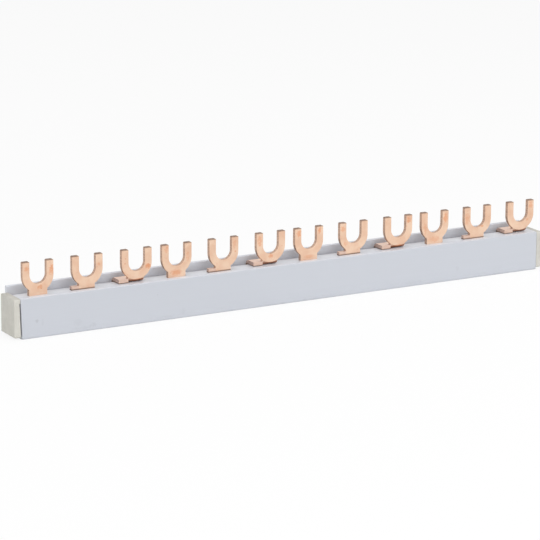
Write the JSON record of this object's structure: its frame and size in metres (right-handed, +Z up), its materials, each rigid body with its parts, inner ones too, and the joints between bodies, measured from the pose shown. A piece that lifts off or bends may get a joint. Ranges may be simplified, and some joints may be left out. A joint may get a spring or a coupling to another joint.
{
  "type": "comb busbar",
  "caption": "Fork-type comb busbar: stamped copper combs nested in a grey extruded insulating housing, their forks in a row, with push-in end caps.",
  "frame": {"origin": "middle of the base: half way along the busbar and half way through its depth, on the surface that it stands on", "axes": "+X along the bar with the left end cap at -X, +Y from the forks' side to the tall back wall, +Z up along the forks"},
  "size_m": [0.2162, 0.0126, 0.0264],
  "materials": {
    "housing": "smooth extruded, faint draw lines",
    "separator": "smooth extruded, satin",
    "copper": "bare copper sheet, stamped, slightly tarnished",
    "end_cap": "moulded, fine matt"
  },
  "bodies": {
    "root": {"housing": "housing", "comb_front": "copper", "separator_front": "separator", "comb_middle": "copper", "separator_rear": "separator", "comb_back": "copper", "end_cap_left": "end_cap", "end_cap_right": "end_cap"}
  },
  "joints": []
}
